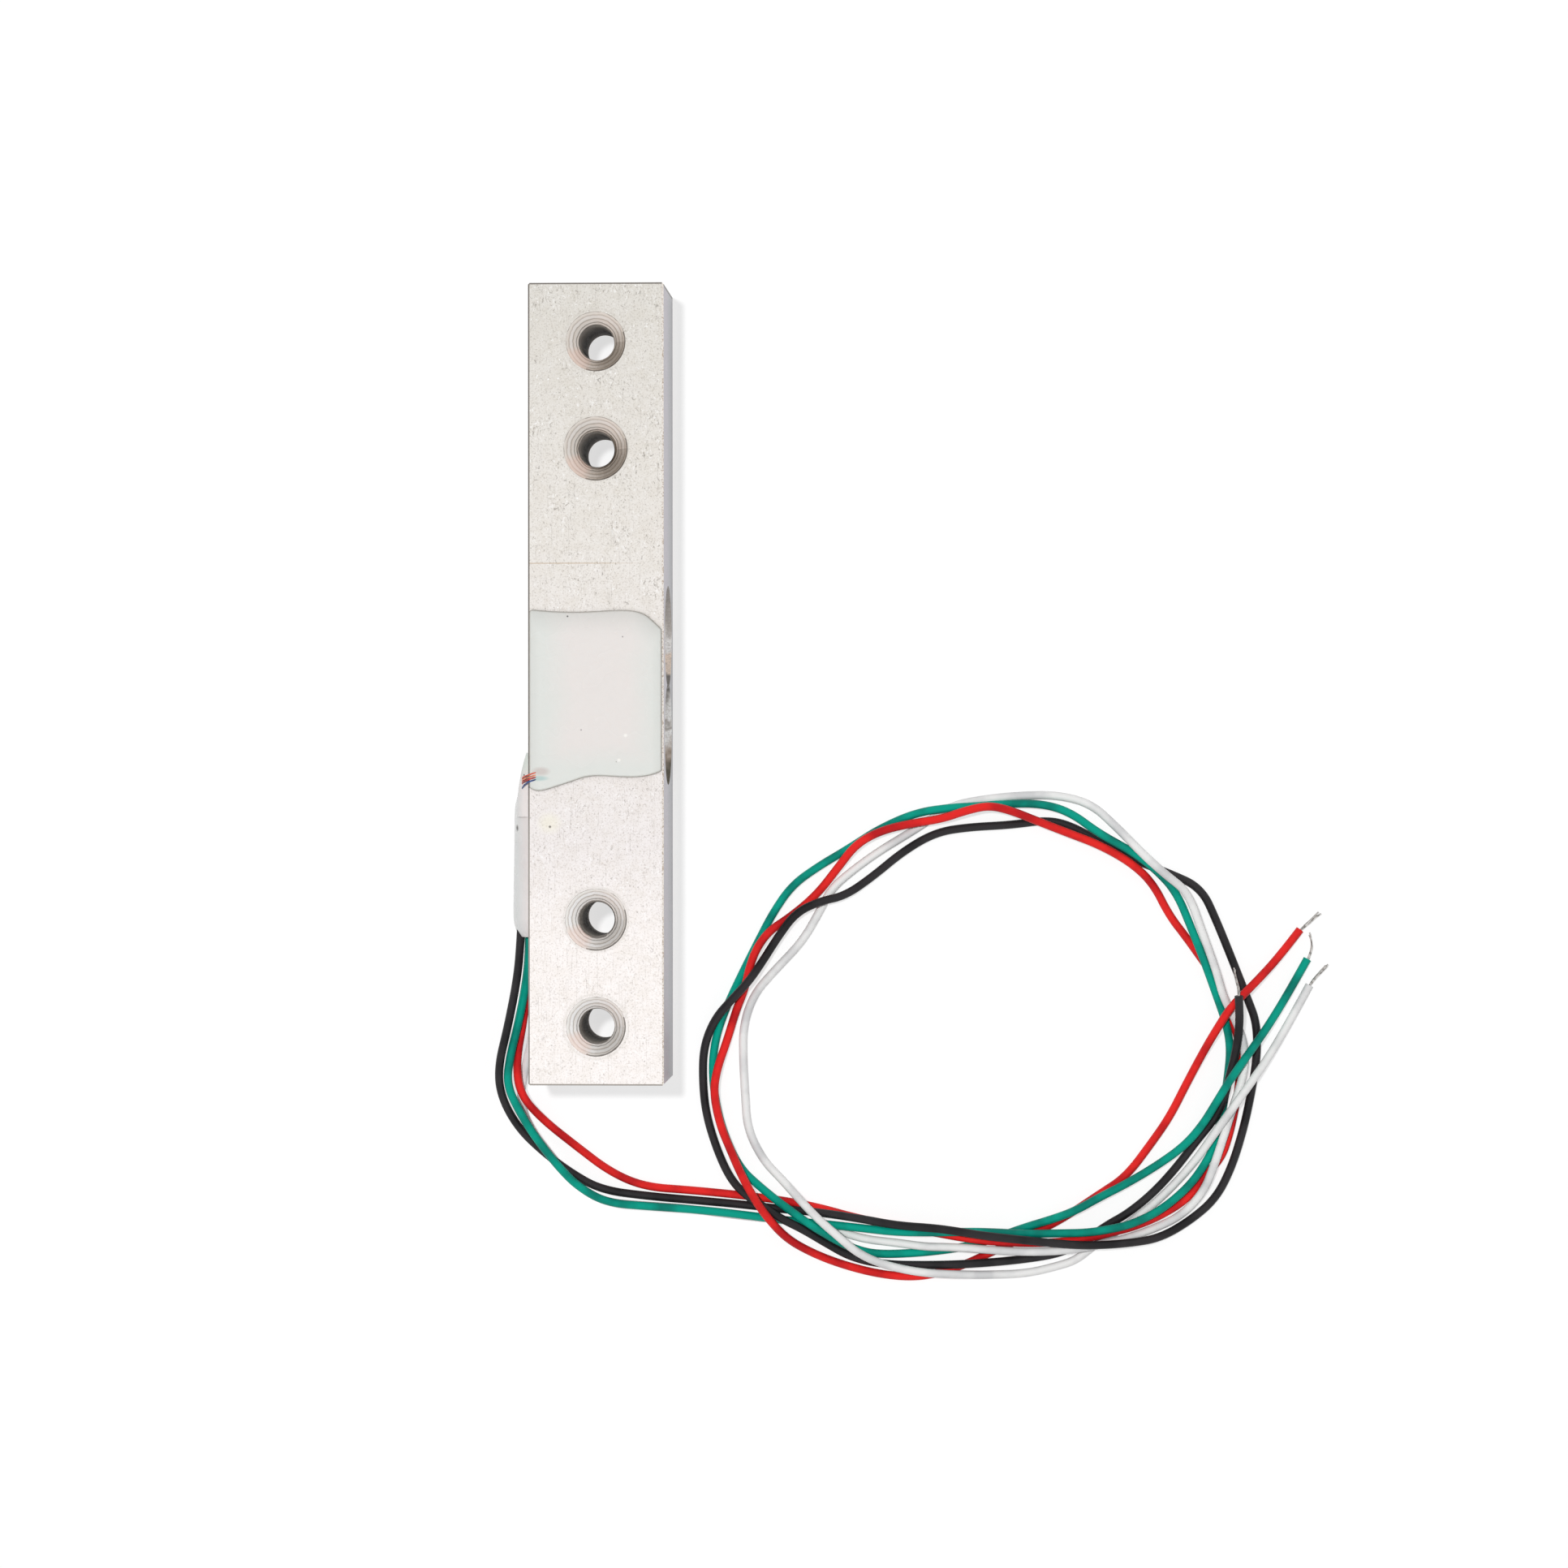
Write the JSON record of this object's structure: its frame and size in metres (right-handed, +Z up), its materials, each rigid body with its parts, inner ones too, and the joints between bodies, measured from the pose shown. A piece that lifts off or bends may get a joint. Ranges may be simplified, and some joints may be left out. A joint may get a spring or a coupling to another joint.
{
  "type": "strain gauge load cell",
  "caption": "Small single-point load cell: aluminium beam with a binocular hollow, gauges under silicone on its thin webs, threaded holes at both ends and four free leads",
  "frame": {"origin": "middle of the two threaded holes at the fixed end, on the lower, mounting face", "axes": "+Y along the beam to the load end; +Z up, from the mounting face to the load face; +X away from the side that carries the silicone bead and the leads"},
  "size_m": [0.0798, 0.0945, 0.0137],
  "materials": {
    "aluminium": "drawn bar, milled, bare",
    "silicone": "glossy cured silicone sealant, pale grey",
    "carrier_film": "polyimide film",
    "foil": "etched constantan foil",
    "enamelled_wire": "enamelled copper wire",
    "solder": "tin solder",
    "insulation_black": "soft PVC",
    "insulation_green": "soft PVC",
    "insulation_red": "soft PVC",
    "insulation_white": "soft PVC",
    "tinned_copper": "tinned stranded copper"
  },
  "bodies": {
    "root": {"beam": "aluminium", "coating_bottom": "silicone", "coating_top": "silicone", "gauge_film_bottom_fixed": "carrier_film", "gauge_film_bottom_load": "carrier_film", "gauge_film_top_fixed": "carrier_film", "gauge_film_top_load": "carrier_film", "gauge_foil_bottom_fixed": "foil", "gauge_foil_bottom_load": "foil", "gauge_foil_top_fixed": "foil", "gauge_foil_top_load": "foil", "lead_black": "insulation_black", "lead_green": "insulation_green", "lead_red": "insulation_red", "lead_white": "insulation_white", "side_bead": "silicone", "solder_black": "solder", "solder_green": "solder", "solder_red": "solder", "solder_white": "solder", "strand_black": "tinned_copper", "strand_green": "tinned_copper", "strand_red": "tinned_copper", "strand_white": "tinned_copper", "wire_bottom_fixed_left": "enamelled_wire", "wire_bottom_fixed_right": "enamelled_wire", "wire_bottom_load_left": "enamelled_wire", "wire_bottom_load_right": "enamelled_wire", "wire_top_fixed_left": "enamelled_wire", "wire_top_fixed_right": "enamelled_wire", "wire_top_load_left": "enamelled_wire", "wire_top_load_right": "enamelled_wire"}
  },
  "joints": []
}
